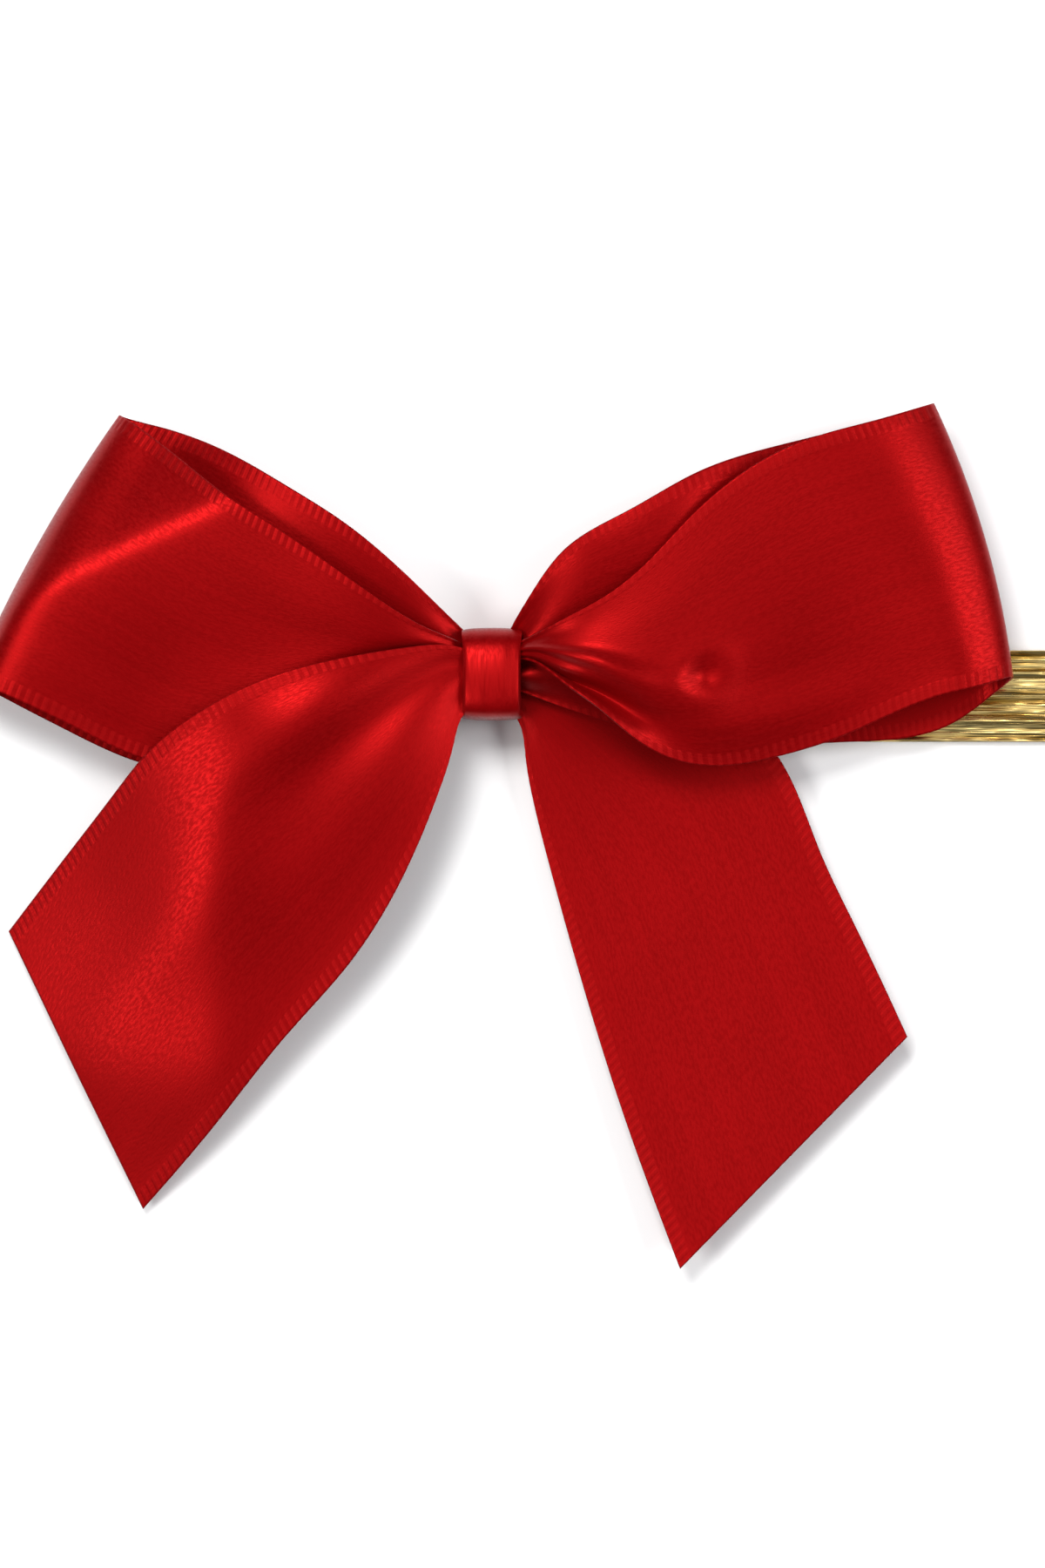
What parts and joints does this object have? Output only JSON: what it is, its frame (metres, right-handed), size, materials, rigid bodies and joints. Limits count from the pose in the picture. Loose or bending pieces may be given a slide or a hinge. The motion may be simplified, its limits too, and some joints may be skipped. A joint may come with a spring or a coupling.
{
  "type": "pre-made gift bow",
  "caption": "Flat satin ribbon bow with loops either side of a banded knot, slant-cut tails and a foil twist tie at the back for fastening it to a gift.",
  "frame": {"origin": "centre of the flat back face of the centre band", "axes": "+Z out of the bow's face, +X to the right, tails towards -Y"},
  "size_m": [0.1045, 0.0752, 0.0106],
  "materials": {
    "satin_ribbon": "red satin weave with a narrow ribbed selvedge",
    "thread": "red polyester thread",
    "glue": "set hot-melt glue",
    "gold_film": "gold metallised film, slightly crinkled",
    "tie_wire": "soft annealed steel wire"
  },
  "bodies": {
    "knot": {"knot_band": "satin_ribbon", "glue_dabs": "glue", "gather_thread": "thread", "ribbon_waist": "satin_ribbon", "right_tail_root": "satin_ribbon", "tie_upper_run_front_film": "gold_film", "tie_upper_run_back_film": "gold_film", "tie_upper_run_wire": "tie_wire", "tie_lower_run_front_film": "gold_film", "tie_lower_run_back_film": "gold_film", "tie_lower_run_wire": "tie_wire", "tie_fold": "gold_film"},
    "left_loop": {"left_loop_ribbon": "satin_ribbon", "left_tail_root": "satin_ribbon"},
    "left_tail": {"left_tail_ribbon": "satin_ribbon"},
    "right_loop": {"right_loop_ribbon": "satin_ribbon"},
    "right_tail": {"right_tail_ribbon": "satin_ribbon"},
    "upper_leg": {"upper_leg_front_film": "gold_film", "upper_leg_back_film": "gold_film", "upper_leg_wire": "tie_wire"},
    "lower_leg": {"lower_leg_front_film": "gold_film", "lower_leg_back_film": "gold_film", "lower_leg_wire": "tie_wire"}
  },
  "joints": [
    {"name": "left_loop_lift", "type": "hinge", "parent": "knot", "child": "left_loop", "pos_m": [-0.003, 0, 0.0055], "axis": [0.4787, 0.878, 0], "range_deg": [0, 25], "stiffness_Nm_per_rad": 0.003},
    {"name": "right_loop_lift", "type": "hinge", "parent": "knot", "child": "right_loop", "pos_m": [0.003, 0, 0.0055], "axis": [0.284, -0.9588, 0], "range_deg": [0, 30], "stiffness_Nm_per_rad": 0.003},
    {"name": "left_tail_lift", "type": "hinge", "parent": "left_loop", "child": "left_tail", "pos_m": [-0.01909, -0.01909, 0.0104], "axis": [-0.7071, 0.7071, 0], "range_deg": [0, 60], "stiffness_Nm_per_rad": 0.002},
    {"name": "right_tail_lift", "type": "hinge", "parent": "knot", "child": "right_tail", "pos_m": [0, -0.0092, 0.00235], "axis": [-1, 0, 0], "range_deg": [0, 60], "stiffness_Nm_per_rad": 0.002},
    {"name": "upper_leg_bend", "type": "hinge", "parent": "knot", "child": "upper_leg", "pos_m": [0.0096, 0.0001, 0.00147], "axis": [0, 1, 0], "range_deg": [0, 110]},
    {"name": "lower_leg_bend", "type": "hinge", "parent": "knot", "child": "lower_leg", "pos_m": [0.0096, -0.00405, 0.00087], "axis": [0, 1, 0], "range_deg": [0, 110]}
  ]
}
